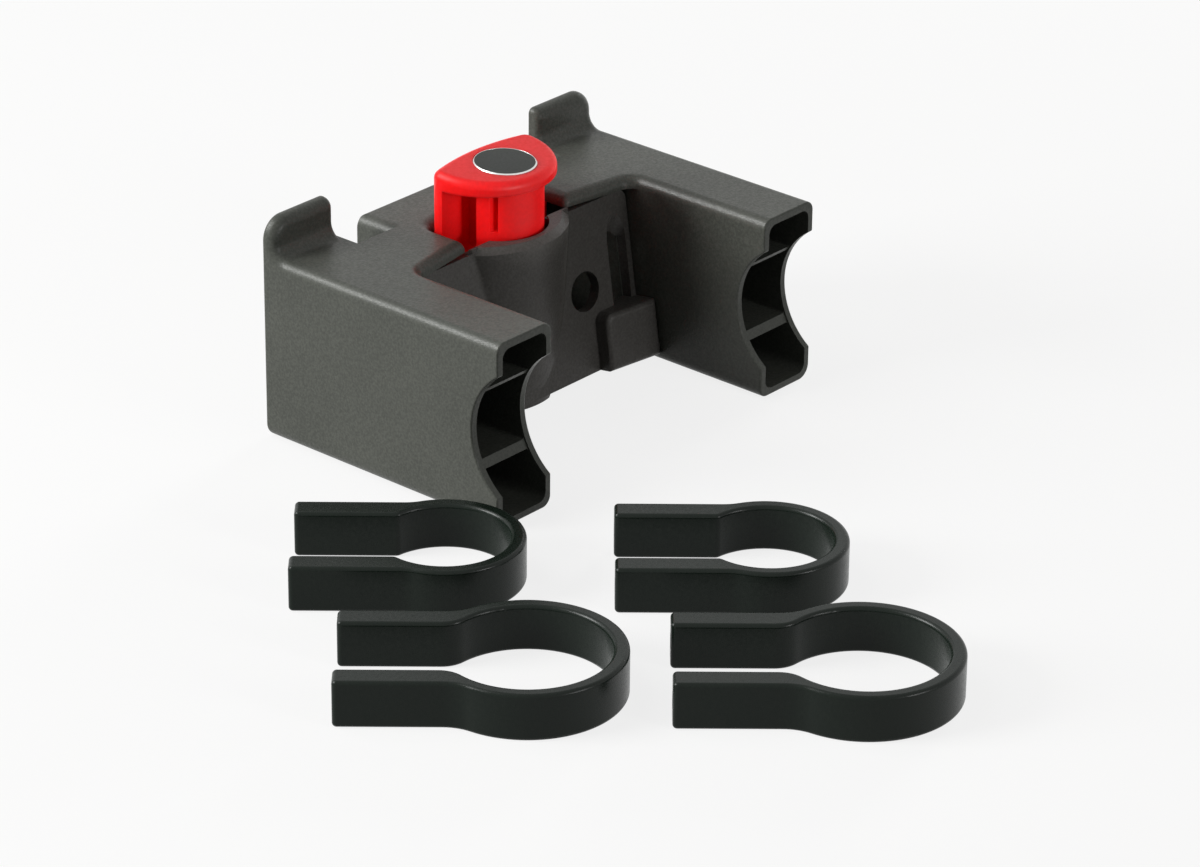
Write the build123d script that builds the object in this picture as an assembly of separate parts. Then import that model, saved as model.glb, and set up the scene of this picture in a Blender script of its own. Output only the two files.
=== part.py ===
from build123d import *
import os
from math import cos, radians, sin, sqrt, tan

# Handlebar mount for a bag: a moulded adapter with a push button, and two pairs of bar clamps.
# Millimetres. +X runs along the handlebar, +Y points to the bag, +Z is up.
# The origin lies on the handlebar axis, midway between the two arms.

# Handlebars
large_bar = 31.8
small_bar = 25.4
saddle_clearance = 0.1
rib_setback = 0.4

# Body, measured from the handlebar axis along Y
body_width = 97.1
body_height = 40.1
body_front = 72.7
arm_end = 9.1
arm_width = 15.9
wall = 1.6
deck_thickness = 2.5
floor_thickness = 2.5
front_wall = 2.5
edge_round = 3.0
top_edge_round = 2.2
front_round = 0.7
gap_edge_round = 2.3
cell_round = 1.2
cell_outer_round = 2.0
cell_inner_round = 0.4
end_rim_round = 0.4

# Deck between the arms, and its notch round the button
deck_edge_at_arm = 45.0
deck_edge_at_notch = 47.8
deck_corner_round = 3.0
notch_mouth_round = 1.2
notch_clearance = 0.6
notch_corner_round = 2.6
notch_corner_drop = 2.05
notch_flat = 14.0
notch_front_round = 8.0

# Ears and hook notches on the bag side
ear_height = 8.2
ear_thickness = 3.2
ear_inner = 31.0
ear_corner_round = 4.8
ear_inner_round = 1.4
ear_root_round = 3.0
ear_foot = 0.2
block_half_width = 21.0
block_corner_round = 2.6
hook_notch_back = 63.0
hook_notch_depth = 12.0

# Arm cells, ribs, bulkhead and screw pockets
upper_rib = 0.9
lower_rib = 1.8
bulkhead_back = 40.0
bulkhead_thickness = 4.0
pocket_web = 2.0

# Rear cover, an inclined panel between the arms
cover_tilt = 8.6
cover_top_back = 46.6
cover_thickness = 2.4
cover_top_gap = 0.4
cover_side_gap = 0.35
cover_foot_gap = 1.4
cover_corner_round = 2.4
ledge_width = 2.0
ledge_depth = 2.0
cable_hole = 8.6
hole_to_slot = 11.05
cable_hole_drop = 18.2
slot_width = 5.7
slot_margin = 1.4
slot_top_drop = 4.6
slot_ramp = 30.0
wedge_width = 13.2
wedge_drop = 23.8
wedge_low_side = 3.5
wedge_high_side = 5.9
wedge_round = 1.1
wedge_corner_round = 2.0

# Button housing on the cover, a half cone round the button stem
housing_axis = 58.5
housing_back = 39.7
housing_draft = 3.0
housing_root_round = 1.2
housing_rim_drop = 2.0
housing_deck_gap = 0.5
housing_wall = 2.2
housing_lid = 3.4
housing_rim_chamfer = 1.4

# Release button: cap, stem with wing, latch tongue
cap_radius = 14.4
cap_axis = 56.0
cap_front = 60.2
cap_thickness = 3.5
cap_slope = 4.0
cap_edge_round = 1.7
cap_corner_round = 2.4
cap_bow = 50.0
cap_rim_round = 0.5
stem_radius = 9.3
stem_axis = 52.6
stem_bottom = -2.0
housing_bore_clearance = 1.0
wing_back = 55.2
groove_floor = 6.2
groove_back = 50.6
groove_bottom = 14.0
slit_width = 1.4
slit_depth = 2.6
slit_offset = 5.4
slit_bottom = 19.6
shoulder_overlap = 2.6
shoulder_height = 5.0
shoulder_gap = 0.25
tongue_width = 14.0
tongue_thickness = 5.0
tooth_height = 5.0
tooth_depth = 3.2
tooth_tip = 0.8
tooth_front_gap = 0.6
window_side_gap = 2.0
window_head = 4.0
button_travel = 7.0
pressed_gap = 1.15

# Badge in the cap
badge_radius = 6.6
badge_thickness = 0.8
badge_axis = 51.0
badge_clearance = 0.05

# Return spring
spring_radius = 4.6
spring_wire = 1.1
spring_turns = 6
spring_pocket_top = 9.0
spring_clearance = 0.8
spring_post_height = 8.0
spring_post_clearance = 0.45

# Clamps and their screws
clamp_width = 9.5
ring_thickness = 3.0
leg_thickness = 5.5
leg_gap = 17.5
rib_clearance = 0.1
large_clamp_length = 54.4
small_clamp_length = 45.2
clamp_outer_blend = 9.0
large_clamp_blend = 6.0
small_clamp_blend = 1.6
clamp_edge_round = 0.8
leg_corner_round = 0.9
screw_diameter = 4.0
screw_length = 20.0
screw_head_diameter = 7.0
screw_head_height = 4.0
screw_socket = 3.0
screw_socket_depth = 2.2
screw_edge = 0.4
screw_hole_clearance = 0.2
pilot_diameter = 3.4
pilot_depth = 15.0

# Where the loose clamps lie: ring centre of the first one, direction of the legs, pitches
first_clamp_x = -70.0
first_clamp_y = 3.1
clamp_turn = -48.6
clamp_pitch = 62.0
clamp_row_pitch = 45.0
clamp_row_shift = 16.2

# Derived sizes
half_width = body_width / 2
half_height = body_height / 2
arm_inner = half_width - arm_width
arm_middle = half_width - arm_width / 2
cell_width = arm_width - 2 * wall
deck_top = half_height
deck_underside = deck_top - deck_thickness
floor_top = -half_height + floor_thickness
saddle_radius = large_bar / 2 + saddle_clearance
rib_face = leg_gap / 2 - rib_clearance
screw_height = leg_gap / 2 + leg_thickness / 2
bulkhead_front = bulkhead_back + bulkhead_thickness
notch_half_width = cap_radius + notch_clearance
notch_front = cap_front + notch_clearance
cover_top = deck_underside - cover_top_gap
cover_bottom = -half_height + cover_foot_gap
cover_length = (cover_top - cover_bottom) / cos(radians(cover_tilt))
cover_half_width = arm_inner - cover_side_gap
slot_x = cover_half_width - slot_margin - slot_width / 2
cable_hole_x = slot_x - hole_to_slot
housing_rim = deck_top - housing_rim_drop
housing_radius = housing_axis - housing_back
housing_bore = stem_radius + housing_bore_clearance
cap_underside = deck_top + button_travel + pressed_gap
shoulder_half_width = notch_half_width + shoulder_overlap
shoulder_top = deck_underside - shoulder_gap
tongue_top = stem_bottom + tongue_thickness
tongue_front = body_front - front_wall - tooth_front_gap
through = 3 * body_height
near = 0.02

cover_plane = Plane(
    origin=(0, cover_top_back, cover_top),
    x_dir=(1, 0, 0),
    z_dir=(0, -cos(radians(cover_tilt)), sin(radians(cover_tilt))),
)
cap_plane = Plane(
    origin=(0, badge_axis, cap_underside + cap_thickness),
    x_dir=(1, 0, 0),
    z_dir=(0, -sin(radians(cap_slope)), cos(radians(cap_slope))),
)


def along_x(sketch, start, end):
    """Extrude a sketch drawn in (y, z) from x = start to x = end."""
    return extrude(Plane.YZ.offset(start) * sketch, end - start)


def along_y(sketch, start, end):
    """Extrude a sketch drawn in (x, z) from y = start to y = end."""
    return extrude(Plane.XZ.offset(-end) * sketch, end - start)


def along_z(sketch, start, end):
    """Extrude a sketch drawn in (x, y) from z = start to z = end."""
    return extrude(Plane.XY.offset(start) * sketch, end - start)


def outline(points, radii):
    """A closed face through the points, with one corner radius for each point."""
    return make_face(FilletPolyline(*points, radius=radii, close=True))


def span(low, high):
    """A rectangle between two opposite corners."""
    size = (high[0] - low[0], high[1] - low[1])
    middle = ((low[0] + high[0]) / 2, (low[1] + high[1]) / 2)
    return Pos(*middle) * Rectangle(*size)


def both_sides(solid):
    """The solid and its mirror image across the plane x = 0."""
    return solid + mirror(solid, about=Plane.YZ)


def cover_back(z):
    """Y of the cover's outer face at a height."""
    return cover_top_back - (cover_top - z) * tan(radians(cover_tilt))


def cover_inside(z):
    """Y of the cover's inner face at a height."""
    return cover_back(z) + cover_thickness / cos(radians(cover_tilt))


def deck_gap():
    """Plan of the gap between the arms, with the notch that the button stands in."""
    points = [
        (arm_inner, 0),
        (arm_inner, deck_edge_at_arm),
        (notch_half_width, deck_edge_at_notch),
        (notch_half_width, notch_front - notch_corner_drop),
        (notch_flat / 2, notch_front),
    ]
    radii = [0, deck_corner_round, notch_mouth_round, notch_corner_round, notch_front_round]
    left = [(-x, y) for x, y in reversed(points)]
    return outline(points + left, radii + radii[::-1])


def hollow_below_deck():
    """Section in (y, z) of everything that is open between the arms, below the deck."""
    foot = cover_inside(-half_height)
    front = body_front - front_wall
    points = [
        (0, deck_underside),
        (front, deck_underside),
        (front, floor_top),
        (cover_inside(floor_top), floor_top),
        (foot, -half_height),
        (foot, -through),
        (0, -through),
    ]
    return outline(points, [0, cell_round, cell_round, 0, 0, 0, 0])


def ear():
    """The right ear, with the root that joins it to the arm's top."""
    top = deck_top + ear_height
    back = body_front - ear_thickness
    foot = back - ear_root_round - ear_foot
    low = deck_top - 2 * edge_round
    side = outline(
        [
            (foot, low),
            (body_front, low),
            (body_front, top),
            (back, top),
            (back, deck_top),
            (foot, deck_top),
        ],
        [0, 0, 0, 0, ear_root_round, 0],
    )
    solid = along_x(side, ear_inner, half_width)
    tops = solid.edges().filter_by(Axis.Y).filter_by_position(Axis.Z, top - near, top + near)
    solid = fillet(tops.sort_by(Axis.X)[-1], ear_corner_round)
    rim = []
    for edge in solid.edges().filter_by_position(Axis.Z, deck_top - near, top + near):
        x, y, z = edge @ 0.5
        along_side = x > half_width - near and foot + near < y < back + near
        over_ear = abs(y - back) < near and x > ear_inner + near and z > deck_top + ear_root_round + near
        if along_side or over_ear:
            rim.append(edge)
    solid = fillet(rim, top_edge_round)
    tops = solid.edges().filter_by(Axis.Y).filter_by_position(Axis.Z, top - near, top + near)
    return fillet(tops.sort_by(Axis.X)[0], ear_inner_round)


def blank():
    """The body before it is hollowed: a block with rounded long edges, and the ears at its front."""
    block = along_x(span((arm_end, -half_height), (body_front, deck_top)), -half_width, half_width)
    for height, radius in ((-half_height, edge_round), (deck_top, top_edge_round)):
        edges = block.edges().filter_by(Axis.Y)
        block = fillet(edges.filter_by_position(Axis.Z, height - near, height + near), radius)
    body = block + both_sides(ear())
    return fillet(body.faces().sort_by(Axis.Y)[-1].edges(), front_round)


def hook_notch():
    """The right notch between ear and centre block that a bag hook drops into."""
    bottom = deck_top - hook_notch_depth
    open_top = deck_top + 2 * ear_height
    inner = block_half_width - block_corner_round
    side_top = deck_top - block_corner_round
    edge = (
        Line((ear_inner, bottom), (ear_inner, open_top))
        + Line((ear_inner, open_top), (inner, open_top))
        + Line((inner, open_top), (inner, deck_top))
        + RadiusArc((inner, deck_top), (block_half_width, side_top), block_corner_round)
        + Line((block_half_width, side_top), (block_half_width, bottom))
        + Line((block_half_width, bottom), (ear_inner, bottom))
    )
    return along_y(make_face(edge), hook_notch_back, body_front + wall)


def hook_pocket():
    """Walls that close the hook notch off from the inside of the body."""
    bottom = deck_top - hook_notch_depth - wall
    shape = span((block_half_width - wall, bottom), (arm_inner, deck_underside))
    return along_y(shape, hook_notch_back - wall, body_front - front_wall)


def arm_cells():
    """Hollows of the right arm: three cells behind the bulkhead and two screw pockets before it."""
    inner, outer = cell_inner_round, cell_outer_round
    edges = [
        (rib_face, half_height - wall, inner, outer),
        (-rib_face + lower_rib, rib_face - upper_rib, inner, inner),
        (-half_height + wall, -rib_face, outer, inner),
    ]
    left, right = arm_middle - cell_width / 2, arm_middle + cell_width / 2
    cells = Part()
    for low, high, low_round, high_round in edges:
        shape = outline(
            [(left, low), (right, low), (right, high), (left, high)],
            [low_round, low_round, high_round, high_round],
        )
        cells += along_y(shape, 0, bulkhead_back)
    pocket = RectangleRounded(cell_width, half_height - wall - pocket_web / 2, cell_round)
    pocket_middle = (half_height - wall + pocket_web / 2) / 2
    for side in (-1, 1):
        place = Pos(arm_middle, side * pocket_middle)
        cells += along_y(place * pocket, bulkhead_front, body_front + wall)
        hole = Circle(screw_diameter / 2 + screw_hole_clearance)
        cells += along_y(Pos(arm_middle, side * screw_height) * hole, bulkhead_back, bulkhead_front)
    return cells


def cover_ledge():
    """The right ledge on the arm's inner face that the cover lies against."""
    low = floor_top
    high = deck_underside
    shape = Polygon(
        (cover_inside(low), low),
        (cover_inside(low) + ledge_depth, low),
        (cover_inside(high) + ledge_depth, high),
        (cover_inside(high), high),
        align=None,
    )
    return along_x(shape, arm_inner - ledge_width, arm_inner)


def latch_window():
    """The window in the front wall where the bag's striker meets the latch."""
    half = tongue_width / 2 + window_side_gap
    low = tongue_top - tongue_thickness
    high = tongue_top + tooth_height + window_head
    return along_y(outline(
        [(-half, low), (half, low), (half, high), (-half, high)], [cell_round] * 4
    ), body_front - 2 * front_wall, body_front + wall)


def lower_edge_cut():
    """What is cut away to round the right arm's inner lower edge, up to the floor."""
    radius = gap_edge_round
    corner = span((arm_inner, -half_height), (arm_inner + radius, -half_height + radius))
    corner -= Pos(arm_inner + radius, -half_height + radius) * Circle(radius)
    return along_y(corner, 0, cover_inside(-half_height))


def round_arm_ends(body):
    """Round the rims of the arms' ends and saddles."""
    ends = body.faces().filter_by(Axis.Y).filter_by_position(Axis.Y, arm_end - near, arm_end + near)
    rims = ends.edges()
    arcs = body.edges().filter_by(GeomType.CIRCLE)
    rims += [arc for arc in arcs if abs(arc.radius - saddle_radius) < near]
    return fillet(rims, end_rim_round)


def adapter_body():
    """The moulded body: deck, front wall, floor, two hollow arms with saddles, two ears."""
    body = blank()
    body -= along_x(hollow_below_deck(), -arm_inner, arm_inner)
    body -= along_z(deck_gap(), deck_underside, deck_top + wall)
    rim = body.edges().filter_by_position(Axis.Z, deck_top - near, deck_top + near)
    rim = rim.filter_by_position(Axis.X, -arm_inner - near, arm_inner + near)
    rim = rim.filter_by_position(Axis.Y, arm_end, deck_edge_at_notch - notch_mouth_round)
    body = fillet(rim, gap_edge_round)
    body -= both_sides(lower_edge_cut())
    body -= along_x(Circle(saddle_radius), -body_width, body_width)
    body = round_arm_ends(body)
    body += both_sides(hook_pocket() + cover_ledge())
    body -= both_sides(hook_notch() + arm_cells())
    body -= latch_window()
    rib_ends = along_x(Circle(saddle_radius + rib_setback), arm_inner + wall, half_width - wall)
    body -= both_sides(rib_ends)
    post = Circle(spring_radius - spring_wire / 2 - spring_post_clearance)
    body += along_z(Pos(0, stem_axis) * post, floor_top, floor_top + spring_post_height)
    return body


def cone(inset, top):
    """A drafted round block about the housing's axis, set in from the housing's outer face."""
    height = top + half_height
    upper = housing_radius - inset - (housing_rim - top) * tan(radians(housing_draft))
    lower = upper - height * tan(radians(housing_draft))
    block = Cone(lower, upper, height, align=(Align.CENTER, Align.CENTER, Align.MIN))
    return Pos(0, housing_axis, -half_height) * block


def rim_cut():
    """The ring that bevels the housing's rim."""
    size = housing_rim_chamfer
    upright = (Align.CENTER, Align.CENTER, Align.MIN)
    ring = Cylinder(2 * housing_radius, size, align=upright)
    ring -= Cone(housing_radius, housing_radius - size, size, align=upright)
    return Pos(0, housing_axis, housing_rim - size) * ring


def wedge():
    """The block at the cover's lower right corner, deeper towards the arm, in the cover's own plane."""
    low = cover_half_width - wedge_width
    section = Polygon(
        (low, -cover_thickness / 2),
        (cover_half_width, -cover_thickness / 2),
        (cover_half_width, wedge_high_side),
        (low, wedge_low_side),
        align=None,
    )
    block = along_y(section, -cover_length, -wedge_drop)
    corner = block.edges().group_by(Axis.X)[0].sort_by(Axis.Y)[-1]
    block = fillet(corner, wedge_corner_round)
    return fillet(block.faces().sort_by(Axis.Z)[-1].edges(), wedge_round)


def cover_cuts():
    """The round hole and the slot, in the cover's own plane. The slot's top end is a round ramp."""
    half = slot_width / 2
    slope = radians(slot_ramp)
    ramp_end = -slot_top_drop - half / sin(slope)
    slot = span((slot_x - half, -wedge_drop), (slot_x + half, ramp_end))
    hole = Pos(cable_hole_x, -cable_hole_drop) * Circle(cable_hole / 2)
    cuts = along_z(slot + hole, -2 * cover_thickness, cover_thickness)
    ramp_axis = Plane(
        origin=(slot_x, -slot_top_drop - half * sin(slope), half * cos(slope)),
        x_dir=(1, 0, 0),
        z_dir=(0, -cos(slope), -sin(slope)),
    )
    return cuts + extrude(ramp_axis * Circle(half), 2 * half / tan(slope), both=True)


def rear_cover():
    """The inclined panel that closes the body between the arms, with the button housing on it."""
    plate = outline(
        [
            (-cover_half_width, -cover_length),
            (cover_half_width, -cover_length),
            (cover_half_width, 0),
            (-cover_half_width, 0),
        ],
        [0, 0, cover_corner_round, cover_corner_round],
    )
    plate = cover_plane * extrude(plate, -cover_thickness)
    middle = cover_plane.offset(-cover_thickness / 2)
    housing = split(cone(0, housing_rim), bisect_by=middle, keep=Keep.TOP)
    cover = plate + housing
    root = [
        edge
        for edge in cover.edges().filter_by(GeomType.ELLIPSE)
        if abs(cover_plane.to_local_coords(edge.center()).Z) < near
    ]
    cover = fillet(root, housing_root_round)
    cover -= split(rim_cut(), bisect_by=cover_plane, keep=Keep.TOP)
    cover -= cone(housing_wall, housing_rim - housing_lid)
    cover -= along_z(Pos(0, stem_axis) * Circle(housing_bore), -half_height, deck_top)
    below_deck = span((-arm_inner, deck_edge_at_notch - housing_deck_gap), (arm_inner, body_front))
    cover -= along_z(below_deck, cover_top, deck_top)
    cover -= cover_plane * cover_cuts()
    return cover + cover_plane * wedge()


def cap_plan():
    """Plan of the cap: round towards the rider, bowed a little towards the bag."""
    bow_axis = cap_front - cap_bow
    powers = cap_bow**2 - cap_radius**2 + cap_axis**2 - bow_axis**2
    corner_y = powers / (2 * (cap_axis - bow_axis))
    corner_x = sqrt(cap_radius**2 - (corner_y - cap_axis) ** 2)
    left, right = (-corner_x, corner_y), (corner_x, corner_y)
    edge = ThreePointArc(left, (0, cap_front), right)
    edge += ThreePointArc(right, (0, cap_axis - cap_radius), left)
    shape = make_face(edge)
    return fillet(shape.vertices(), cap_corner_round)


def button_cap():
    """The D-shaped cap, with a sloping top and a seat for the badge."""
    cap = along_z(cap_plan(), cap_underside, cap_underside + 3 * cap_thickness)
    cap = split(cap, bisect_by=cap_plane, keep=Keep.BOTTOM)
    cap = fillet(cap.faces().sort_by(Axis.Z)[-1].edges(), cap_edge_round)
    cap = fillet(cap.faces().sort_by(Axis.Z)[0].edges(), cap_rim_round)
    seat = Circle(badge_radius + badge_clearance)
    return cap - cap_plane * extrude(seat, -badge_thickness)


def button_stem():
    """The round stem with its wing flush with the cap, its shoulder and its side grooves."""
    top = cap_underside + cap_thickness / 2
    column = Pos(0, stem_axis) * Circle(stem_radius)
    column &= span((-stem_radius, 0), (stem_radius, wing_back + wall))
    wing = cap_plan() & span((-cap_radius, wing_back), (cap_radius, cap_front))
    shoulder = span((-shoulder_half_width, wing_back), (shoulder_half_width, cap_front))
    stem = along_z(column + wing, stem_bottom, top)
    stem += along_z(shoulder, shoulder_top - shoulder_height, shoulder_top)
    groove = span((groove_floor, groove_back), (stem_radius, wing_back))
    slit_floor = sqrt(stem_radius**2 - slit_offset**2) - slit_depth
    slit_middle = stem_axis - slit_offset
    slit = span(
        (slit_floor, slit_middle - slit_width / 2),
        (stem_radius, slit_middle + slit_width / 2),
    )
    stem -= both_sides(along_z(groove, groove_bottom, cap_underside))
    return stem - both_sides(along_z(slit, slit_bottom, cap_underside))


def latch():
    """The tongue that reaches forward from the wing, with a ramped tooth behind the window."""
    tooth_back = tongue_front - tooth_depth
    tip = tongue_top + tooth_height
    side = Polygon(
        (wing_back, stem_bottom),
        (tongue_front, stem_bottom),
        (tongue_front, tongue_top),
        (tooth_back + tooth_tip, tip),
        (tooth_back, tip),
        (tooth_back, tongue_top),
        (wing_back, tongue_top),
        align=None,
    )
    return along_x(side, -tongue_width / 2, tongue_width / 2)


def release_button():
    """The push button, moulded in one piece with its stem and latch, with a pocket for the spring."""
    pocket = Circle(spring_radius + spring_wire / 2 + spring_clearance)
    button = button_cap() + button_stem() + latch()
    return button - along_z(Pos(0, stem_axis) * pocket, stem_bottom, spring_pocket_top)


def button_badge():
    """The round disc set flush in the cap."""
    return cap_plane * extrude(Circle(badge_radius), -badge_thickness)


def return_spring():
    """The helical spring between the floor and the pocket in the stem."""
    low = floor_top + spring_wire / 2
    height = spring_pocket_top - spring_wire / 2 - low
    helix = Helix(height / spring_turns, height, spring_radius, center=(0, stem_axis, low))
    section = Plane(origin=helix @ 0, z_dir=helix % 0) * Circle(spring_wire / 2)
    return sweep(section, path=helix)


def clamp(bar, length, inner_blend, place):
    """A U-shaped clamp that lies on its side: a thin ring with two thick legs."""
    inner = bar / 2
    outer = inner + ring_thickness
    leg_end = outer - length
    leg_outer = leg_gap / 2 + leg_thickness
    shape = Circle(outer) + span((leg_end, -leg_outer), (0, leg_outer))
    shape -= Circle(inner)
    shape -= span((leg_end, -leg_gap / 2), (0, leg_gap / 2))
    for radius, blend in ((outer, clamp_outer_blend), (inner, inner_blend)):
        corners = [v for v in shape.vertices() if abs(Vector(v.X, v.Y).length - radius) < near]
        shape = fillet(corners, blend)
    shape = fillet(shape.vertices().group_by(Axis.X)[0], leg_corner_round)
    solid = extrude(shape, clamp_width)
    levels = solid.edges().group_by(Axis.Z)
    solid = fillet(levels[0] + levels[-1], clamp_edge_round)
    for side in (-1, 1):
        hole = Pos(side * (leg_gap + leg_thickness) / 2, clamp_width / 2) * Circle(pilot_diameter / 2)
        solid -= along_x(hole, leg_end, leg_end + pilot_depth)
    return place * solid


def clamp_place(column, row):
    """Where a loose clamp lies: columns run along the legs, rows run across them."""
    along = Vector(1, 0).rotate(Axis.Z, clamp_turn)
    across = Vector(0, -1).rotate(Axis.Z, clamp_turn)
    ring = Vector(first_clamp_x, first_clamp_y, -half_height)
    ring += along * (column * clamp_pitch + row * clamp_row_shift) + across * row * clamp_row_pitch
    return Pos(ring) * Rot(0, 0, clamp_turn)


def clamp_screw(side, level):
    """A socket screw whose head bears on the bulkhead and whose shank reaches back into the cell."""
    head_end = bulkhead_front + screw_head_height
    screw = along_y(Circle(screw_head_diameter / 2), bulkhead_front, head_end)
    screw = chamfer(screw.edges().group_by(Axis.Y)[-1], screw_edge)
    shank = along_y(Circle(screw_diameter / 2), bulkhead_front - screw_length, bulkhead_front)
    screw += chamfer(shank.edges().group_by(Axis.Y)[0], screw_edge)
    socket = RegularPolygon(screw_socket / 2, 6, major_radius=False)
    screw -= along_y(socket, head_end - screw_socket_depth, head_end)
    return Pos(side * arm_middle, 0, level * screw_height) * screw


def all_parts():
    """Every piece by its name."""
    parts = {
        "adapter_body": adapter_body(),
        "rear_cover": rear_cover(),
        "release_button": release_button(),
        "button_badge": button_badge(),
        "return_spring": return_spring(),
    }
    for column, side in enumerate(("left", "right")):
        small = (small_bar, small_clamp_length, small_clamp_blend)
        large = (large_bar, large_clamp_length, large_clamp_blend)
        parts[f"small_clamp_{side}"] = clamp(*small, clamp_place(column, 0))
        parts[f"large_clamp_{side}"] = clamp(*large, clamp_place(column, 1))
        for level, height in ((-1, "lower"), (1, "upper")):
            parts[f"clamp_screw_{height}_{side}"] = clamp_screw(2 * column - 1, level)
    return parts


if __name__ == "__main__":
    os.makedirs("parts", exist_ok=True)
    for name, solid in all_parts().items():
        export_step(solid, f"parts/{name}.step")
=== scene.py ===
"""Handlebar bag mount: finishes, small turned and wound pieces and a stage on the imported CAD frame."""

import math

import bpy
import numpy as np
from bpy.props import FloatProperty, FloatVectorProperty, IntProperty, PointerProperty
from bpy.types import Operator, Panel, PropertyGroup
from mathutils import Matrix, Vector


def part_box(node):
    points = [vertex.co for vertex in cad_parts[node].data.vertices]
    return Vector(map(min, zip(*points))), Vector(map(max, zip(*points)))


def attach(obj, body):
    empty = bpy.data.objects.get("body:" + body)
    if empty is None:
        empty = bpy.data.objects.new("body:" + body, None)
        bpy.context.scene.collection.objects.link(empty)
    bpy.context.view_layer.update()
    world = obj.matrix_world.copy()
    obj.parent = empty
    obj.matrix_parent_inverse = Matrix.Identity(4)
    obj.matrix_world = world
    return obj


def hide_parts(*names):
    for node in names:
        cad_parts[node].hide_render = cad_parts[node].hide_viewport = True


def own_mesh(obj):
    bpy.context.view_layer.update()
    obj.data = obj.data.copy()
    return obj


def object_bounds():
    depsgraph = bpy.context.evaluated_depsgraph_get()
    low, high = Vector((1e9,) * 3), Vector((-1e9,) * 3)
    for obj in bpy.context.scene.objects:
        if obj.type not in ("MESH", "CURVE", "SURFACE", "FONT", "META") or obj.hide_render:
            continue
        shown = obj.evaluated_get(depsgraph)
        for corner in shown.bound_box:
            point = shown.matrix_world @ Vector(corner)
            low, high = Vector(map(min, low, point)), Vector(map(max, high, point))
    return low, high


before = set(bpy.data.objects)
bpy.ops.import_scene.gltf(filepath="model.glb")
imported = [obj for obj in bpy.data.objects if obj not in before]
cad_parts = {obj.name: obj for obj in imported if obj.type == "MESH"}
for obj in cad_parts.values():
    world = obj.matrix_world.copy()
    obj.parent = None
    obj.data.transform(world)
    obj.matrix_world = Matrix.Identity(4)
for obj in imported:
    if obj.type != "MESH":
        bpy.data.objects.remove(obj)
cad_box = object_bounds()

bl_info = {
    "name": "Handlebar bag mount",
    "version": (1, 0, 0),
    "blender": (4, 5, 0),
    "location": "3D View > Sidebar > Bag mount",
    "description": "Dresses the CAD frame of a handlebar bag mount and sets its stage",
    "category": "Add Mesh",
}

MM = 0.001

# Places that the CAD frame fixes, in metres
CAP_CENTRE = np.array([0.0, 51.0, 31.7]) * MM
SPRING_AXIS = np.array([0.0, 52.6]) * MM
SPRING_FOOT = -17.55 * MM
SPRING_HEAD = 9.0 * MM
FLOOR_LEVEL = cad_box[0].z

SCREW_NODES = (
    "clamp_screw_upper_left", "clamp_screw_lower_left", "clamp_screw_upper_right", "clamp_screw_lower_right")
CLAMP_NODES = ("small_clamp_left", "small_clamp_right", "large_clamp_left", "large_clamp_right")

# Faces that meet at a larger angle than this show a sharp edge
SHARP_EDGE = math.radians(38)
SHARP_THREAD = math.radians(32)

# Sockets of a Mix node that blends colours: its two colours and its result
FIRST_COLOUR, SECOND_COLOUR, BLEND = 6, 7, 2
WHITE = (1, 1, 1, 1)


def linear(code):
    """Scene-linear red, green and blue of an sRGB hex colour such as #4a4a46."""
    srgb = np.array([int(code[i:i + 2], 16) for i in (1, 3, 5)]) / 255
    return tuple(np.where(srgb <= 0.04045, srgb / 12.92, ((srgb + 0.055) / 1.055) ** 2.4))


def per_metre(size_mm):
    """Texture scale whose features repeat every size_mm millimetres on Object coordinates."""
    return 1 / (size_mm * MM)


# Settings

class FinishSettings(PropertyGroup):
    """Colours of the mouldings and the badge"""

    body: FloatVectorProperty(
        name="Body", description="Moulded body", subtype="COLOR", min=0, max=1, default=linear("#464843"))
    body_fleck: FloatVectorProperty(
        name="Body fleck", description="Pale flecks in the body's grain", subtype="COLOR", min=0, max=1,
        default=linear("#565852"))
    cover: FloatVectorProperty(
        name="Cover", description="Rear cover", subtype="COLOR", min=0, max=1, default=linear("#484643"))
    cover_fleck: FloatVectorProperty(
        name="Cover fleck", description="Pale flecks in the cover's grain", subtype="COLOR", min=0, max=1,
        default=linear("#585653"))
    button: FloatVectorProperty(
        name="Button", description="Push button", subtype="COLOR", min=0, max=1, default=linear("#f8181b"))
    button_shade: FloatVectorProperty(
        name="Button shade", description="Darker flecks in the button", subtype="COLOR", min=0, max=1,
        default=linear("#f01518"))
    badge: FloatVectorProperty(
        name="Badge", description="Face of the badge", subtype="COLOR", min=0, max=1,
        default=linear("#191d19"))
    clamp: FloatVectorProperty(
        name="Clamps", description="Bar clamps", subtype="COLOR", min=0, max=1, default=linear("#101813"))
    clamp_fleck: FloatVectorProperty(
        name="Clamp fleck", description="Pale flecks in the clamps' skin", subtype="COLOR", min=0, max=1,
        default=linear("#171f19"))


class BadgeSettings(PropertyGroup):
    """Sizes of the badge in the button's cap"""

    radius: FloatProperty(
        name="Radius", description="Badge with its bright edge", unit="LENGTH", default=6.6 * MM)
    bevel: FloatProperty(
        name="Bevel", description="Width of the bright bevel", unit="LENGTH", default=0.22 * MM)
    lift: FloatProperty(
        name="Lift", description="Height of the middle over the cap", unit="LENGTH", default=0.18 * MM)
    slope: FloatProperty(
        name="Slope", description="Rise towards the bag, less than the cap's own", unit="ROTATION",
        default=math.radians(2.5))
    crown: FloatProperty(
        name="Crown", description="Dome of the face over its edge", unit="LENGTH", default=0.05 * MM)
    depth: FloatProperty(
        name="Depth", description="Depth of the seat in the cap", unit="LENGTH", default=0.7 * MM)


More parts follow.
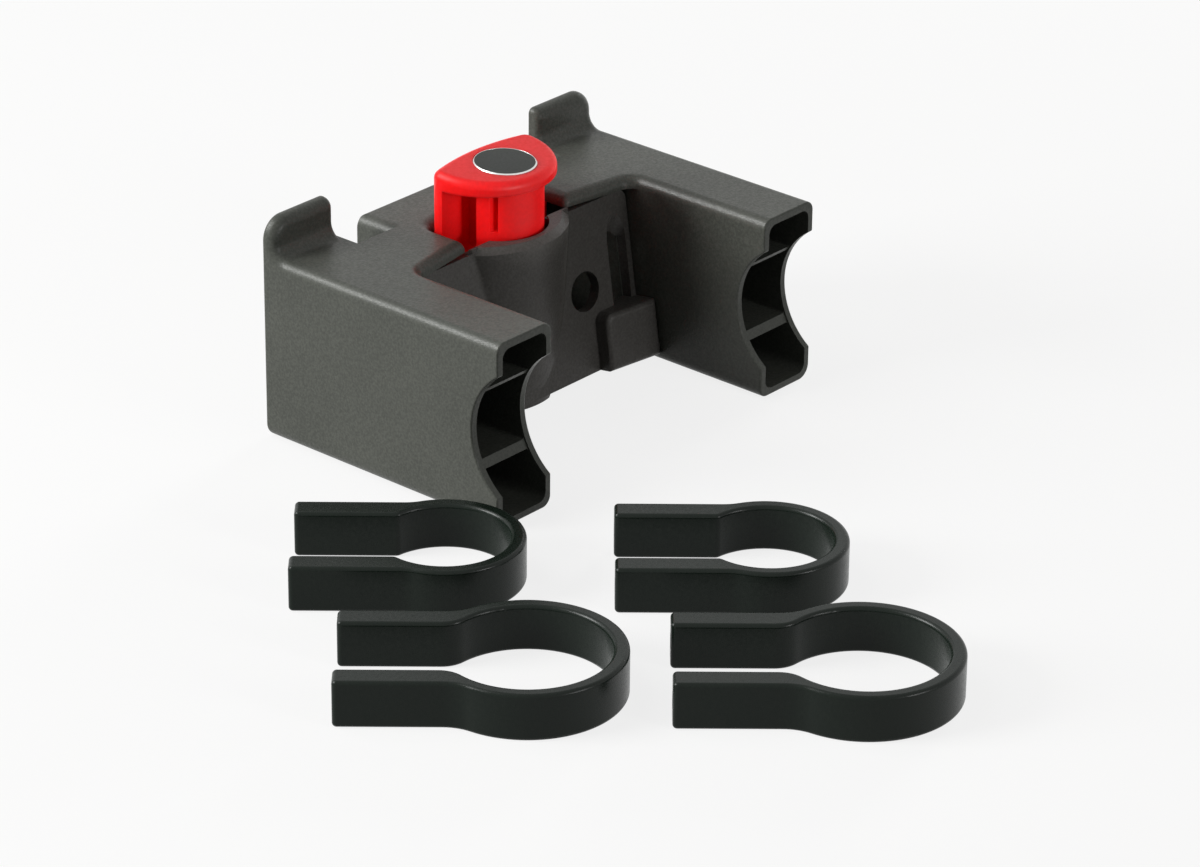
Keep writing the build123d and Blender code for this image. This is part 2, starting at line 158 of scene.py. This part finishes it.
class SpringSettings(PropertyGroup):
    """Sizes of the return spring"""

    radius: FloatProperty(
        name="Coil radius", description="To the middle of the wire", unit="LENGTH", default=4.6 * MM)
    wire: FloatProperty(
        name="Wire", description="Wire diameter", unit="LENGTH", default=1.1 * MM)
    turns: IntProperty(
        name="Working turns", description="Turns that carry the load", min=2, default=6)
    end_turns: IntProperty(
        name="End turns", description="Closed turns at each end", min=1, default=1)


class ScrewSettings(PropertyGroup):
    """Sizes of the clamp screws"""

    pitch: FloatProperty(
        name="Pitch", description="Thread pitch", unit="LENGTH", default=0.7 * MM)
    depth: FloatProperty(
        name="Thread depth", description="Crest to root", unit="LENGTH", default=0.42 * MM)
    shank: FloatProperty(
        name="Shank", description="Shank length", unit="LENGTH", default=20.0 * MM)
    radius: FloatProperty(
        name="Shank radius", description="Over the crests", unit="LENGTH", default=2.0 * MM)
    head_radius: FloatProperty(
        name="Head radius", description="Over the knurl", unit="LENGTH", default=3.5 * MM)
    head: FloatProperty(
        name="Head", description="Head height", unit="LENGTH", default=4.0 * MM)
    key: FloatProperty(
        name="Key", description="Hexagon across flats", unit="LENGTH", default=3.0 * MM)
    key_depth: FloatProperty(
        name="Key depth", description="Socket depth", unit="LENGTH", default=2.2 * MM)


class StageSettings(PropertyGroup):
    """Light and floor of the studio"""

    key_light: FloatProperty(
        name="Key light", description="Soft low light from the back left", unit="POWER", min=0, default=13.2)
    top_light: FloatProperty(
        name="Top light", description="Soft high light from the back", unit="POWER", min=0, default=3.0)
    front_light: FloatProperty(
        name="Front light", description="Soft light between the arms onto the cover", unit="POWER", min=0,
        default=2.8)
    edge_light: FloatProperty(
        name="Edge light", description="Light that draws a line on rounded edges", unit="POWER", min=0,
        default=12.0)
    side_light: FloatProperty(
        name="Side light", description="Soft fill from the right", unit="POWER", min=0, default=7.0)
    accent_light: FloatProperty(
        name="Accent light", description="Narrow light on the button's front", unit="POWER", min=0,
        default=13.5)
    ambient: FloatProperty(
        name="Ambient", description="White light from all round on matt surfaces", min=0, max=1,
        default=0.08)
    floor_shadow: FloatProperty(
        name="Floor shadow", description="Share of the floor's look that takes light and shadow",
        subtype="FACTOR", min=0, max=1, default=0.18)


# Meshes

def surface(name, rows, ends=None, sharp=SHARP_EDGE):
    """Object from a grid of points, rows by columns, with quads between neighbours. The columns close on
    themselves. With ends, two points, a fan of triangles closes each end; without, the rows close too."""
    count, columns = rows.shape[:2]
    span = count - 1 if ends is not None else count
    row = np.arange(span)[:, None] * columns
    after = (np.arange(span)[:, None] + 1) % count * columns
    here = np.arange(columns)[None, :]
    beside = (here + 1) % columns
    quads = np.stack([row + here, row + beside, after + beside, after + here], axis=-1)
    faces = quads.reshape(-1, 4).tolist()
    points = rows.reshape(-1, 3)
    if ends is not None:
        first, last = len(points), len(points) + 1
        points = np.concatenate([points, np.array(ends)])
        u, v = here[0], beside[0]
        tail = (count - 1) * columns
        faces += np.stack([np.full(columns, first), v, u], axis=-1).tolist()
        faces += np.stack([np.full(columns, last), tail + u, tail + v], axis=-1).tolist()
    mesh = bpy.data.meshes.new(name)
    mesh.from_pydata(points.tolist(), [], faces)
    mesh.polygons.foreach_set("use_smooth", np.ones(len(mesh.polygons), bool))
    mesh.set_sharp_from_angle(angle=sharp)
    mesh.update()
    return linked(name, mesh)


def linked(name, data):
    """Object of a mesh, lamp or camera, put into the scene."""
    made = bpy.data.objects.new(name, data)
    bpy.context.scene.collection.objects.link(made)
    return made


def turned(radius, height, columns):
    """Grid of a profile carried round the z axis: the point at height h and angle a is
    (r cos a, r sin a, h), with r from the profile, or from a whole rows-by-columns array."""
    angle = np.arange(columns) * 2 * np.pi / columns
    radius = np.broadcast_to(np.asarray(radius).reshape(len(height), -1), (len(height), columns))
    height = np.broadcast_to(np.asarray(height)[:, None], radius.shape)
    return np.stack([radius * np.cos(angle), radius * np.sin(angle), height], axis=-1)


def arc(centre, radius, start, end, count):
    """Points of an arc in a profile, as (radius, height) pairs, from angle start to end in degrees."""
    angle = np.radians(np.linspace(start, end, count))
    return np.stack([centre[0] + radius * np.cos(angle), centre[1] + radius * np.sin(angle)], axis=-1)


def placed(points, origin, across, along):
    """Points turned so that their x axis lies on across and their z axis on along, and moved to origin."""
    across, along = np.asarray(across, float), np.asarray(along, float)
    return points @ np.stack([across, np.cross(along, across), along]) + np.asarray(origin)


# Materials

def add_node(material, kind, inputs=None, **settings):
    """Adds one node: settings go to its properties, and each input is a value to set or a socket to link."""
    tree = material.node_tree
    made = tree.nodes.new(kind)
    for name, value in settings.items():
        setattr(made, name, value)
    for name, value in (inputs or {}).items():
        if isinstance(value, bpy.types.NodeSocket):
            tree.links.new(value, made.inputs[name])
        else:
            made.inputs[name].default_value = value
    return made


def new_material(name):
    """Empty node material."""
    material = bpy.data.materials.new(name)
    material.use_nodes = True
    material.node_tree.nodes.clear()
    return material


def rgba(colour):
    """Colour with full opacity."""
    return (*colour, 1.0)


def grained_moulding(name, colour, fleck, roughness, specular, grain_mm, relief_mm, depth_mm=0.0):
    """Moulded plastic from a spark-eroded tool: a matt skin of fine pits and peaks. Light and dark flecks
    the size of the grain, a slow cloudiness where the melt flowed, and a roughness that follows the peaks.
    With a depth, light soaks in that far and comes out again redder."""
    flow_mm, cloudiness = 18.0, 0.14
    roughness_swing = 0.07
    material = new_material(name)
    where = add_node(material, "ShaderNodeTexCoord").outputs["Object"]
    # The grain is drawn coarser than the true one, which is finer than a pixel.
    grain = add_node(material, "ShaderNodeTexNoise", {
        "Vector": where, "Scale": per_metre(grain_mm), "Detail": 3.0, "Roughness": 0.62})
    cloud = add_node(material, "ShaderNodeTexNoise", {
        "Vector": where, "Scale": per_metre(flow_mm), "Detail": 2.0, "Roughness": 0.5})
    speck = add_node(material, "ShaderNodeMapRange", {
        "Value": grain.outputs["Fac"], "From Min": 0.36, "From Max": 0.68})
    drift = add_node(material, "ShaderNodeMapRange", {
        "Value": cloud.outputs["Fac"], "From Min": 0.3, "From Max": 0.7,
        "To Min": -cloudiness, "To Max": cloudiness})
    share = add_node(material, "ShaderNodeMath", {
        0: speck.outputs["Result"], 1: drift.outputs["Result"]}, operation="ADD", use_clamp=True)
    tint = add_node(material, "ShaderNodeMix", {
        "Factor": share.outputs[0], FIRST_COLOUR: rgba(colour), SECOND_COLOUR: rgba(fleck)},
        data_type="RGBA")
    polish = add_node(material, "ShaderNodeMapRange", {
        "Value": grain.outputs["Fac"], "From Min": 0.3, "From Max": 0.7,
        "To Min": roughness + roughness_swing, "To Max": roughness - roughness_swing})
    relief = add_node(material, "ShaderNodeBump", {
        "Height": grain.outputs["Fac"], "Strength": 0.6, "Distance": relief_mm * MM})
    skin = add_node(material, "ShaderNodeBsdfPrincipled", {
        "Base Color": tint.outputs[BLEND], "Roughness": polish.outputs["Result"],
        "Normal": relief.outputs["Normal"], "IOR": 1.53, "Specular IOR Level": specular,
        "Subsurface Weight": 1.0 if depth_mm else 0.0, "Subsurface Scale": depth_mm * MM,
        "Subsurface Radius": (1.0, 0.12, 0.1)})
    add_node(material, "ShaderNodeOutputMaterial", {"Surface": skin.outputs["BSDF"]})
    return material


def bright_metal(name, colour, roughness, line_mm, stretch, relief_mm):
    """Drawn, turned or plated metal: a mirror broken by fine marks, drawn out into lines across the axis
    along which the pattern is packed closer."""
    dulling, roughness_swing = 0.78, 0.08
    material = new_material(name)
    where = add_node(material, "ShaderNodeTexCoord").outputs["Object"]
    laid = add_node(material, "ShaderNodeMapping", {"Vector": where, "Scale": stretch})
    lines = add_node(material, "ShaderNodeTexNoise", {
        "Vector": laid.outputs["Vector"], "Scale": per_metre(line_mm), "Detail": 2.0})
    sheen = add_node(material, "ShaderNodeMapRange", {
        "Value": lines.outputs["Fac"], "From Min": 0.3, "From Max": 0.7,
        "To Min": roughness - roughness_swing, "To Max": roughness + roughness_swing})
    dull = tuple(dulling * part for part in colour)
    tint = add_node(material, "ShaderNodeMix", {
        "Factor": lines.outputs["Fac"], FIRST_COLOUR: rgba(colour), SECOND_COLOUR: rgba(dull)},
        data_type="RGBA")
    relief = add_node(material, "ShaderNodeBump", {
        "Height": lines.outputs["Fac"], "Strength": 0.4, "Distance": relief_mm * MM})
    skin = add_node(material, "ShaderNodeBsdfPrincipled", {
        "Base Color": tint.outputs[BLEND], "Metallic": 1.0, "Roughness": sheen.outputs["Result"],
        "Normal": relief.outputs["Normal"]})
    add_node(material, "ShaderNodeOutputMaterial", {"Surface": skin.outputs["BSDF"]})
    return material


def finish(piece, material):
    """Puts one material on a CAD node or a new piece."""
    piece.data.materials.clear()
    piece.data.materials.append(material)


# Pieces

class BAGMOUNT_OT_adapter(Operator):
    """Gives the body and the rear cover their moulded finish"""

    bl_idname = "bag_mount.adapter"
    bl_label = "Adapter body and cover"

    def execute(self, context):
        colours = context.scene.bag_mount_finish
        # Glass-filled nylon: dark, matt and dry, with a greyish bloom where light grazes it.
        finish(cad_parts["adapter_body"], grained_moulding(
            "Glass-filled nylon, spark-eroded", colours.body, colours.body_fleck,
            roughness=0.35, specular=0.17, grain_mm=0.55, relief_mm=0.08))
        # The cover's nylon has the same dry skin, a shade warmer.
        finish(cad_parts["rear_cover"], grained_moulding(
            "Glass-filled nylon, fine spark-eroded", colours.cover, colours.cover_fleck,
            roughness=0.36, specular=0.16, grain_mm=0.58, relief_mm=0.09))
        return {"FINISHED"}


class BAGMOUNT_OT_button(Operator):
    """Gives the push button its red semi-gloss finish"""

    bl_idname = "bag_mount.button"
    bl_label = "Push button"

    def execute(self, context):
        colours = context.scene.bag_mount_finish
        # Acetal takes pigment deeply and keeps a soft gloss: long blurred highlights on every rounded edge.
        finish(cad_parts["release_button"], grained_moulding(
            "Acetal, satin moulded", colours.button_shade, colours.button,
            roughness=0.4, specular=0.15, grain_mm=0.8, relief_mm=0.008, depth_mm=1.2))
        return {"FINISHED"}


class BAGMOUNT_OT_badge(Operator):
    """Makes the badge: a dark crowned disc held in a bright bevelled edge"""

    bl_idname = "bag_mount.badge"
    bl_label = "Badge"

    columns = 128
    face_rings = 24
    rounding_points = 8
    # How far the face lies below the edge's top
    lip = 0.04 * MM
    # Width of the edge and rounding of its top, as shares of its bevel
    edge_share, rounding_share = 1.5, 0.25
    # Flecks in the face, lighter than its colour by this factor
    fleck_gain = 1.18

    def execute(self, context):
        size = context.scene.bag_mount_badge
        colours = context.scene.bag_mount_finish
        across, up = (1, 0, 0), (0, -math.sin(size.slope), math.cos(size.slope))
        origin = CAP_CENTRE + (0, 0, size.lift)
        inner = size.radius - self.edge_share * size.bevel

        # Edge: a closed ring with a straight outside, a bevel that leans in, and a narrow rounded top.
        rounding = self.rounding_share * size.bevel
        outline = np.concatenate([
            [(inner, -size.depth), (size.radius, -size.depth), (size.radius, -size.bevel)],
            arc((size.radius - size.bevel - rounding, -rounding), rounding, 45, 180, self.rounding_points),
        ])
        grid = turned(outline[:, 0], outline[:, 1], self.columns)
        edge = surface("badge_edge", placed(grid, origin, across, up))
        # Diamond-turned aluminium: near mirror, so the thin bevel flashes where it faces a light.
        finish(edge, bright_metal(
            "Aluminium, diamond-turned", linear("#e3e4e2"),
            roughness=0.22, line_mm=0.3, stretch=(1, 1, 1), relief_mm=0.004))

        # Face: a shallow paraboloid crown, h = crown (1 - (r / R)^2) - lip, on a short straight wall.
        share = np.linspace(1, 0, self.face_rings)[:-1]
        foot = -size.depth + self.lip
        wall = np.array([(inner, foot), (inner, -2 * self.lip)])
        top = np.stack([inner * share, size.crown * (1 - share ** 2) - self.lip], axis=-1)
        outline = np.concatenate([wall, top])
        grid = turned(outline[:, 0], outline[:, 1], self.columns)
        poles = np.array([(0, 0, foot), (0, 0, size.crown - self.lip)])
        face = surface("badge_face", placed(grid, origin, across, up), placed(poles, origin, across, up))
        # Lacquered aluminium foil: dark, even and satin, a little greener than the mouldings round it.
        finish(face, grained_moulding(
            "Lacquered foil, satin", colours.badge, tuple(self.fleck_gain * part for part in colours.badge),
            roughness=0.4, specular=0.18, grain_mm=0.3, relief_mm=0.004))

        for piece in (edge, face):
            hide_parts("button_badge")
            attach(piece, "button")
        return {"FINISHED"}


class BAGMOUNT_OT_spring(Operator):
    """Winds the return spring, with closed and ground ends"""

    bl_idname = "bag_mount.spring"
    bl_label = "Return spring"

    rows_per_turn = 64
    columns = 18
    # Part of a turn by which the pitch starts to widen before an end turn is complete
    lead = 0.5

    def execute(self, context):
        size = context.scene.bag_mount_spring
        total = size.turns + 2 * size.end_turns
        length = SPRING_HEAD - SPRING_FOOT
        # Wire centre: (R cos 2 pi t, R sin 2 pi t, z(t)) with t in turns. Its pitch is one wire in the end
        # turns and widens smoothly between them, and z is the running sum of that pitch. It starts and ends
        # a quarter wire inside the spring's ends.
        turn = np.linspace(0, total, total * self.rows_per_turn + 1)
        ramp = np.clip(np.minimum(turn, total - turn) - size.end_turns + self.lead, 0, 1)
        open_share = ramp * ramp * (3 - 2 * ramp)
        step = np.diff(turn)
        mean = (open_share[1:] + open_share[:-1]) / 2
        extra = (length - size.wire / 2 - size.wire * total) / (mean * step).sum()
        climb = np.concatenate([[0], np.cumsum((size.wire + extra * mean) * step)])
        level = SPRING_FOOT + size.wire / 4 + climb
        # Wire section: a circle in the plane of the radius and the axis, cut flat where the ends are ground.
        round_wire = np.arange(self.columns) * 2 * np.pi / self.columns
        reach = size.radius + size.wire / 2 * np.cos(round_wire)[None, :]
        lift = level[:, None] - size.wire / 2 * np.sin(round_wire)[None, :]
        angle = 2 * np.pi * turn[:, None]
        rows = np.stack([
            SPRING_AXIS[0] + reach * np.cos(angle), SPRING_AXIS[1] + reach * np.sin(angle),
            np.clip(lift, SPRING_FOOT, SPRING_HEAD)], axis=-1)
        spring = surface("return_spring_wire", rows, rows[[0, -1]].mean(axis=1))
        # Spring steel, drawn: bright, with fine die lines along the wire.
        finish(spring, bright_metal(
            "Spring steel, drawn", linear("#b9bab8"),
            roughness=0.3, line_mm=0.4, stretch=(1, 1, 3), relief_mm=0.01))
        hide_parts("return_spring")
        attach(spring, "frame")
        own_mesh(spring)
        return {"FINISHED"}


class BAGMOUNT_OT_screws(Operator):
    """Makes the four clamp screws, with thread, knurled head and hexagon socket"""

    bl_idname = "bag_mount.screws"
    bl_label = "Clamp screws"

    columns = 72
    rows_per_pitch = 10
    # Thread: steepness of its flanks and share of the crest, and the pitches over which it starts and ends
    flank, crest = 1.35, 0.2
    run_in, run_out = 0.8, 1.5
    point_chamfer = 0.5 * MM
    # Shank under the head that has no thread, and the fillet from there to the head's underside
    plain_shank = 0.7 * MM
    fillet_height, fillet_width = 0.2 * MM, 0.15 * MM
    # Head: the roundings of its two ends, and how far from them the knurl stops and the crown starts
    foot_rounding, crown_rounding = 0.2 * MM, 0.45 * MM
    foot_points, crown_points = 5, 7
    knurl_depth = 0.09 * MM
    knurl_foot, knurl_top, crown_foot = 0.5 * MM, 0.8 * MM, 0.65 * MM
    # Socket: margin and depth of the countersunk mouth, and the drilled cone under the hexagon
    mouth_margin, mouth_depth = 0.12 * MM, 0.15 * MM
    cone_share, cone_shoulder, cone_depth = 0.8, 0.15 * MM, 0.5 * MM

    def grid(self, size):
        """Screw on the z axis, point at 0: radius r(h, a) from the profile, less the thread, a flat-topped
        wave of h / pitch - a / 2 pi, less the knurl, a wave of a, and hexagonal in the socket, where
        r = (key / 2) / cos(a') with a' the angle from the middle of the nearest flat."""
        angle = np.arange(self.columns) * 2 * np.pi / self.columns
        thread_end = size.shank - self.plain_shank
        rise = np.linspace(0, thread_end, int(thread_end / size.pitch * self.rows_per_pitch))
        phase = np.abs((rise[:, None] / size.pitch - angle / (2 * np.pi)) % 1 - 0.5) * 2
        groove = np.clip(self.flank * phase - self.crest, 0, 1)
        begun, left = rise / (self.run_in * size.pitch), (thread_end - rise) / (self.run_out * size.pitch)
        fade = np.clip(np.minimum(begun, left), 0, 1)
        point = np.clip(size.radius - self.point_chamfer + rise, 0, size.radius)
        thread = point[:, None] - size.depth * groove * fade[:, None]

        top = size.shank + size.head
        knurl = self.knurl_depth * (np.arange(self.columns) % 2)
        smooth = np.zeros(self.columns)
        head = np.concatenate([
            [(size.radius, size.shank - self.fillet_height), (size.radius + self.fillet_width, size.shank)],
            arc((size.head_radius - self.foot_rounding, size.shank + self.foot_rounding),
                self.foot_rounding, -90, 0, self.foot_points),
        ])
        side = np.array([
            (size.head_radius, size.shank + self.knurl_foot), (size.head_radius, top - self.knurl_top)])
        crown = np.concatenate([
            [(size.head_radius, top - self.crown_foot)],
            arc((size.head_radius - self.crown_rounding, top - self.crown_rounding),
                self.crown_rounding, 0, 90, self.crown_points),
        ])
        flat = np.pi / 3
        hexagon = size.key / 2 / np.cos((angle + flat / 2) % flat - flat / 2)
        mouth = size.key / math.sqrt(3) + self.mouth_margin
        floor = top - size.key_depth
        rings = [
            (head[:, :1] - smooth, head[:, 1]),
            (side[:, :1] - knurl, side[:, 1]),
            (crown[:, :1] - smooth, crown[:, 1]),
            ([np.full(self.columns, mouth)], [top]),
            ([hexagon, hexagon, self.cone_share * hexagon],
             [top - self.mouth_depth, floor, floor - self.cone_shoulder]),
        ]
        radius = np.concatenate([thread] + [np.asarray(ring) for ring, _ in rings])
        height = np.concatenate([rise] + [np.asarray(level) for _, level in rings])
        return turned(radius, height, self.columns), floor - self.cone_depth

    def execute(self, context):
        grid, cone_tip = self.grid(context.scene.bag_mount_screw)
        poles = np.array([(0, 0, 0), (0, 0, cone_tip)])
        across, along = (1, 0, 0), (0, 1, 0)
        # Zinc-plated steel: pale, slightly blue, soft mirror with the marks of the header and roller.
        plated = bright_metal(
            "Steel, zinc-plated", linear("#b4b8ba"),
            roughness=0.34, line_mm=0.35, stretch=(1, 1, 1), relief_mm=0.01)
        for node in SCREW_NODES:
            low, high = (np.array(corner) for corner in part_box(node))
            point = ((low[0] + high[0]) / 2, low[1], (low[2] + high[2]) / 2)
            screw = surface(
                node.replace("clamp_screw", "socket_screw"), placed(grid, point, across, along),
                placed(poles, point, across, along), sharp=SHARP_THREAD)
            finish(screw, plated)
            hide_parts(node)
            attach(screw, "frame")
        return {"FINISHED"}


class BAGMOUNT_OT_clamps(Operator):
    """Gives the four bar clamps their satin black finish"""

    bl_idname = "bag_mount.clamps"
    bl_label = "Bar clamps"

    def execute(self, context):
        colours = context.scene.bag_mount_finish
        # Fibre-filled nylon from a smooth tool: near black, with a satin gloss that draws each edge.
        satin = grained_moulding(
            "Fibre-filled nylon, satin moulded", colours.clamp, colours.clamp_fleck,
            roughness=0.27, specular=0.17, grain_mm=0.7, relief_mm=0.016)
        for node in CLAMP_NODES:
            finish(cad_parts[node], satin)
        return {"FINISHED"}


# Stage

class BAGMOUNT_OT_stage(Operator):
    """Sets the floor, the soft lights, the white surround and the camera"""

    bl_idname = "bag_mount.stage"
    bl_label = "Stage"

    # Camera: place and clipping in metres, directions in radians, lens and sensor in millimetres
    eye = (-0.69330, -0.57593, 0.42324)
    azimuth, elevation, roll = (math.radians(part) for part in (49.097, 25.851, 0.561))
    lens, sensor = 149.232, 36.0
    nearest, farthest = 0.01, 50.0

    # Floor: radius in metres, and the paper's tone for light that falls on matt skins and for the eye
    floor_radius = 6.0
    floor_columns = 96
    paper_lit, paper_seen = "#6a6a68", "#f4f4f2"

    # Soft lights: name, setting, width and place from the object's middle in metres, and whether each falls
    # on matt skins and shows in gloss. The edge light shows in gloss alone, as a line on the rounded edges
    # that face it. The key and side lights fall on matt skins alone, so that flat tops don't glare from the
    # far side.
    lamps = (
        ("Key light", "key_light", 0.5, (-0.80, 0.60, 0.34), True, False),
        ("Top light", "top_light", 0.8, (-0.30, 0.62, 0.80), True, True),
        ("Front light", "front_light", 0.3, (0.12, -1.00, 0.30), True, True),
        ("Edge light", "edge_light", 0.5, (-0.52, 0.60, 0.64), False, True),
        ("Side light", "side_light", 0.3, (0.98, 0.20, 0.14), True, False),
    )

    # Accent light: a beam as wide as the button, which reaches it over the gap between the arms. It is aimed
    # a little below the cap's centre.
    beam_offset = (-0.12, -0.96, 0.14)
    beam_drop = 4.0 * MM
    beam_radius, beam_blend = 15.5 * MM, 0.4
    beam_source = 4.0 * MM

    def white_for_view(self, tree_owner):
        """Socket that is 1 for the camera's, mirror and glass rays, and 0 for the light on matt skins."""
        path = add_node(tree_owner, "ShaderNodeLightPath")
        gloss = add_node(tree_owner, "ShaderNodeMath", {
            0: path.outputs["Is Camera Ray"], 1: path.outputs["Is Glossy Ray"]}, operation="MAXIMUM")
        return add_node(tree_owner, "ShaderNodeMath", {
            0: gloss.outputs[0], 1: path.outputs["Is Transmission Ray"]}, operation="MAXIMUM").outputs[0]

    def set_surround(self, scene, settings):
        """World that is white to look at and gives matt skins a faint light from all round."""
        world = bpy.data.worlds.new("White surround")
        world.use_nodes = True
        world.node_tree.nodes.clear()
        level = add_node(world, "ShaderNodeMapRange", {
            "Value": self.white_for_view(world), "To Min": settings.ambient, "To Max": 1.0})
        glow = add_node(world, "ShaderNodeBackground", {
            "Color": WHITE, "Strength": level.outputs["Result"]})
        add_node(world, "ShaderNodeOutputWorld", {"Surface": glow.outputs["Background"]})
        scene.world = world

    def lay_floor(self, settings):
        """Floor: a disc of an outer ring of quads and a round middle, turned about the z axis."""
        count = self.floor_columns
        rows = turned([self.floor_radius, self.floor_radius / 4], np.array([FLOOR_LEVEL] * 2), count)
        here = np.arange(count)
        beside = (here + 1) % count
        ring = np.stack([here, beside, count + beside, count + here], axis=-1).tolist()
        mesh = bpy.data.meshes.new("studio_floor")
        mesh.from_pydata(rows.reshape(-1, 3).tolist(), [], ring + [(count + here).tolist()])
        floor = linked("studio_floor", mesh)
        # Paper sweep: white to the eye, with a part of its look that takes light and shadow.
        paper = new_material("Paper sweep, white")
        seen = self.white_for_view(paper)
        tone = add_node(paper, "ShaderNodeMix", {
            "Factor": seen, FIRST_COLOUR: rgba(linear(self.paper_lit)),
            SECOND_COLOUR: rgba(linear(self.paper_seen))}, data_type="RGBA")
        matt = add_node(paper, "ShaderNodeBsdfDiffuse", {"Color": tone.outputs[BLEND]})
        white = add_node(paper, "ShaderNodeEmission", {"Color": WHITE, "Strength": 1.0})
        share = add_node(paper, "ShaderNodeMath", {
            0: seen, 1: 1.0 - settings.floor_shadow}, operation="MULTIPLY")
        look = add_node(paper, "ShaderNodeMixShader", {
            "Fac": share.outputs[0], 1: matt.outputs["BSDF"], 2: white.outputs["Emission"]})
        add_node(paper, "ShaderNodeOutputMaterial", {"Surface": look.outputs["Shader"]})
        finish(floor, paper)

    def hang(self, lamp, aim, offset):
        """Lamp at an offset from its aim, turned so that it shines there."""
        holder = linked(lamp.name, lamp)
        holder.location = aim + offset
        holder.rotation_euler = offset.to_track_quat("Z", "Y").to_euler()
        return holder

    def hang_lamps(self, settings):
        """Soft lights round the object and the narrow one on the button."""
        middle = (cad_box[0] + cad_box[1]) / 2
        for name, setting, width, offset, on_matt, on_gloss in self.lamps:
            lamp = bpy.data.lights.new(name, "AREA")
            lamp.energy = getattr(settings, setting)
            lamp.size = width
            holder = self.hang(lamp, middle, Vector(offset))
            holder.visible_diffuse = on_matt
            holder.visible_glossy = on_gloss

        aim, offset = Vector(CAP_CENTRE) - Vector((0, 0, self.beam_drop)), Vector(self.beam_offset)
        beam = bpy.data.lights.new("Accent light", "SPOT")
        beam.energy = settings.accent_light
        beam.shadow_soft_size = self.beam_source
        beam.spot_size = 2 * math.atan(self.beam_radius / offset.length)
        beam.spot_blend = self.beam_blend
        self.hang(beam, aim, offset)

    def set_camera(self, scene):
        """Camera: ahead from azimuth and elevation, right and up turned about it by the roll."""
        ahead = Vector((
            math.sin(self.azimuth) * math.cos(self.elevation),
            math.cos(self.azimuth) * math.cos(self.elevation), -math.sin(self.elevation)))
        right = ahead.cross(Vector((0, 0, 1))).normalized()
        up = right.cross(ahead)
        rolled_right = math.cos(self.roll) * right + math.sin(self.roll) * up
        rolled_up = math.cos(self.roll) * up - math.sin(self.roll) * right
        camera = bpy.data.cameras.new("Photo camera")
        camera.sensor_width, camera.lens = self.sensor, self.lens
        camera.clip_start, camera.clip_end = self.nearest, self.farthest
        holder = linked("Photo camera", camera)
        turn = Matrix((rolled_right, rolled_up, -ahead)).transposed()
        holder.matrix_world = Matrix.Translation(self.eye) @ turn.to_4x4()
        scene.camera = holder

    def execute(self, context):
        scene = context.scene
        settings = scene.bag_mount_stage
        scene.view_settings.view_transform = "Standard"
        self.set_surround(scene, settings)
        self.lay_floor(settings)
        self.hang_lamps(settings)
        self.set_camera(scene)
        return {"FINISHED"}


class BAGMOUNT_PT_panel(Panel):
    """Lists the pieces and their settings"""

    bl_idname = "BAGMOUNT_PT_panel"
    bl_label = "Handlebar bag mount"
    bl_space_type = "VIEW_3D"
    bl_region_type = "UI"
    bl_category = "Bag mount"

    def draw(self, context):
        for group in SETTINGS:
            box = self.layout.box()
            settings = getattr(context.scene, group)
            for name in settings.bl_rna.properties.keys():
                if name not in {"rna_type", "name"}:
                    box.prop(settings, name)
        for piece in PIECES:
            self.layout.operator(piece.bl_idname)


SETTINGS = {
    "bag_mount_finish": FinishSettings,
    "bag_mount_badge": BadgeSettings,
    "bag_mount_spring": SpringSettings,
    "bag_mount_screw": ScrewSettings,
    "bag_mount_stage": StageSettings,
}
PIECES = (
    BAGMOUNT_OT_stage, BAGMOUNT_OT_adapter, BAGMOUNT_OT_button, BAGMOUNT_OT_badge, BAGMOUNT_OT_spring,
    BAGMOUNT_OT_screws, BAGMOUNT_OT_clamps)


def register():
    """Registers the settings, the operators and the panel."""
    for name, group in SETTINGS.items():
        bpy.utils.register_class(group)
        setattr(bpy.types.Scene, name, PointerProperty(type=group))
    for piece in (*PIECES, BAGMOUNT_PT_panel):
        bpy.utils.register_class(piece)


def unregister():
    """Takes the panel, the operators and the settings out again."""
    for piece in reversed((*PIECES, BAGMOUNT_PT_panel)):
        bpy.utils.unregister_class(piece)
    for name, group in SETTINGS.items():
        delattr(bpy.types.Scene, name)
        bpy.utils.unregister_class(group)


def main():
    """Registers the add-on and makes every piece."""
    register()
    bpy.ops.bag_mount.stage()
    bpy.ops.bag_mount.adapter()
    bpy.ops.bag_mount.button()
    bpy.ops.bag_mount.badge()
    bpy.ops.bag_mount.spring()
    bpy.ops.bag_mount.screws()
    bpy.ops.bag_mount.clamps()


if __name__ == "__main__":
    main()
